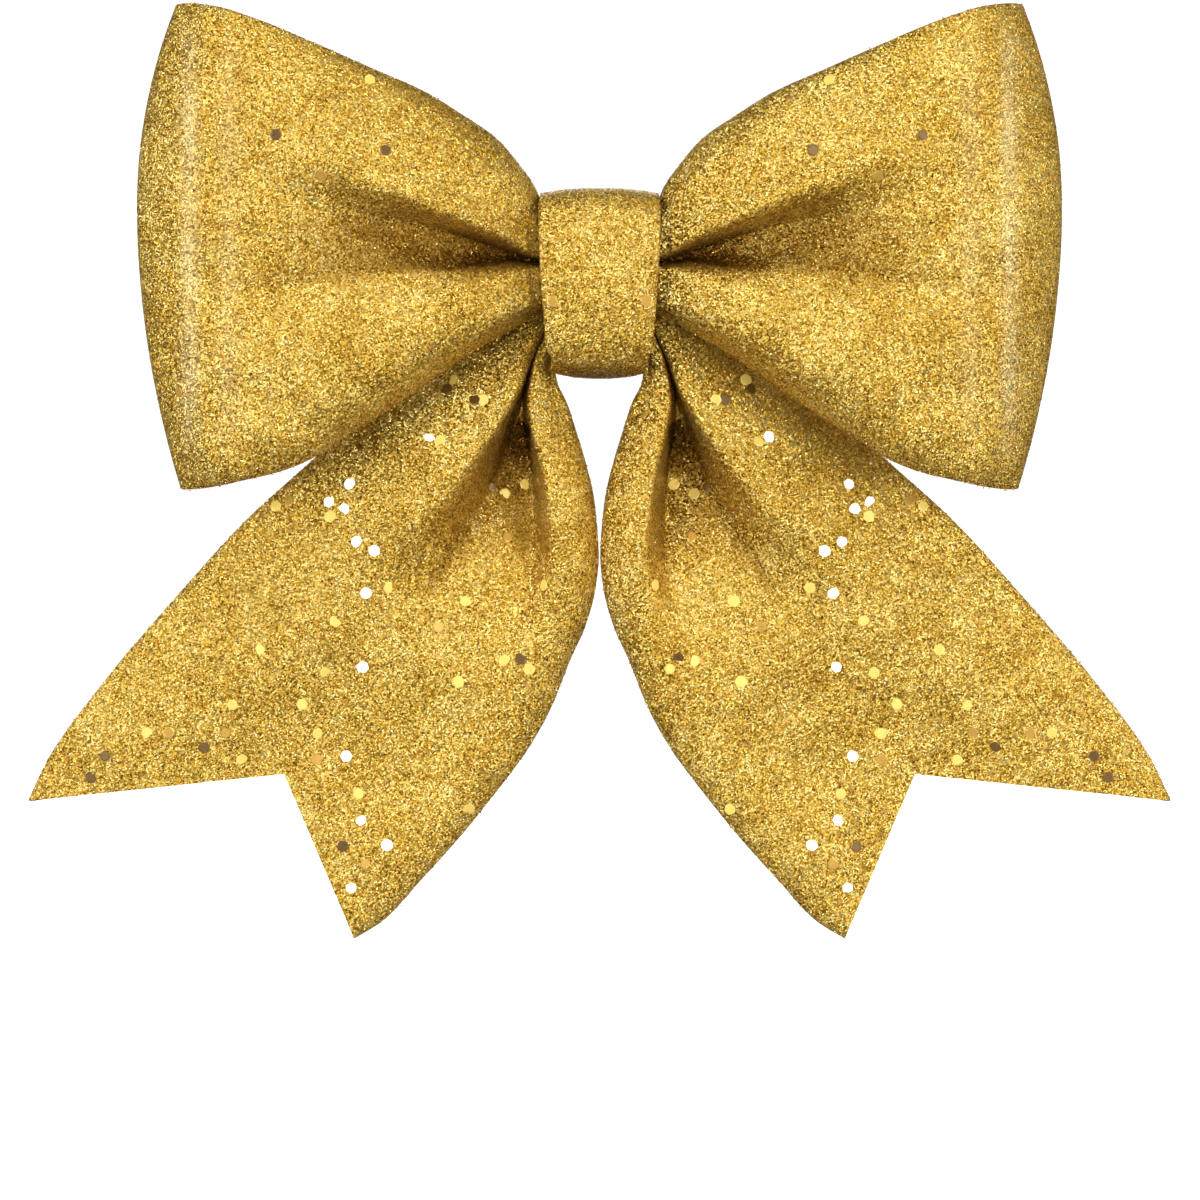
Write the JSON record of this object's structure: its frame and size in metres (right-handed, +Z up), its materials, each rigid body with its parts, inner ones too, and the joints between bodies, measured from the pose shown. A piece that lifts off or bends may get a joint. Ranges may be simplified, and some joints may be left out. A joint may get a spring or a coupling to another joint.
{
  "type": "cheer hair bow",
  "caption": "Glitter ribbon hair bow with two pleated loops, a wrapped knot and two notched tails, on a sprung toothed clip.",
  "frame": {"origin": "outer flat face of the clip's lower jaw, behind the middle of the knot, where the clip lies against the head", "axes": "+X to the viewer's right along both loops, +Y from the bow back towards the head, +Z up"},
  "size_m": [0.1784, 0.0332, 0.1461],
  "materials": {
    "glitter_fabric": "fine gold glitter film on ribbon, with scattered hexagonal sequins",
    "lining_ribbon": "matte grosgrain ribbon",
    "thread": "waxed polyester thread",
    "hot_melt": "clear-amber hot-melt glue",
    "nickel_steel": "nickel-plated pressed steel"
  },
  "bodies": {
    "clip_base": {"clip_bottom_jaw": "nickel_steel"},
    "bow": {"loop_ribbon": "glitter_fabric", "loop_lining": "lining_ribbon", "tail_gather": "glitter_fabric", "knot_wrap": "glitter_fabric", "binding_thread": "thread", "clip_glue": "hot_melt", "clip_liner": "lining_ribbon", "clip_top_jaw": "nickel_steel", "clip_pin": "nickel_steel", "clip_spring": "nickel_steel"},
    "left_tail": {"tail_left": "glitter_fabric", "tail_lining_left": "lining_ribbon"},
    "right_tail": {"tail_right": "glitter_fabric", "tail_lining_right": "lining_ribbon"}
  },
  "joints": [
    {"name": "clip_open", "type": "hinge", "parent": "clip_base", "child": "bow", "pos_m": [0.014, -0.0039, 0], "axis": [0, 0, 1], "range_deg": [0, 34], "stiffness_Nm_per_rad": 0.12, "springref_deg": -34.38, "deforming": ["clip_spring"]},
    {"name": "tail_left_swing", "type": "hinge", "parent": "bow", "child": "left_tail", "pos_m": [-0.0099, -0.0114, -0.007], "axis": [0.26, 0, -0.9656], "range_deg": [-3, 20], "stiffness_Nm_per_rad": 0.012},
    {"name": "tail_right_swing", "type": "hinge", "parent": "bow", "child": "right_tail", "pos_m": [0.0099, -0.0114, -0.007], "axis": [0.26, 0, 0.9656], "range_deg": [-3, 20], "stiffness_Nm_per_rad": 0.012}
  ]
}
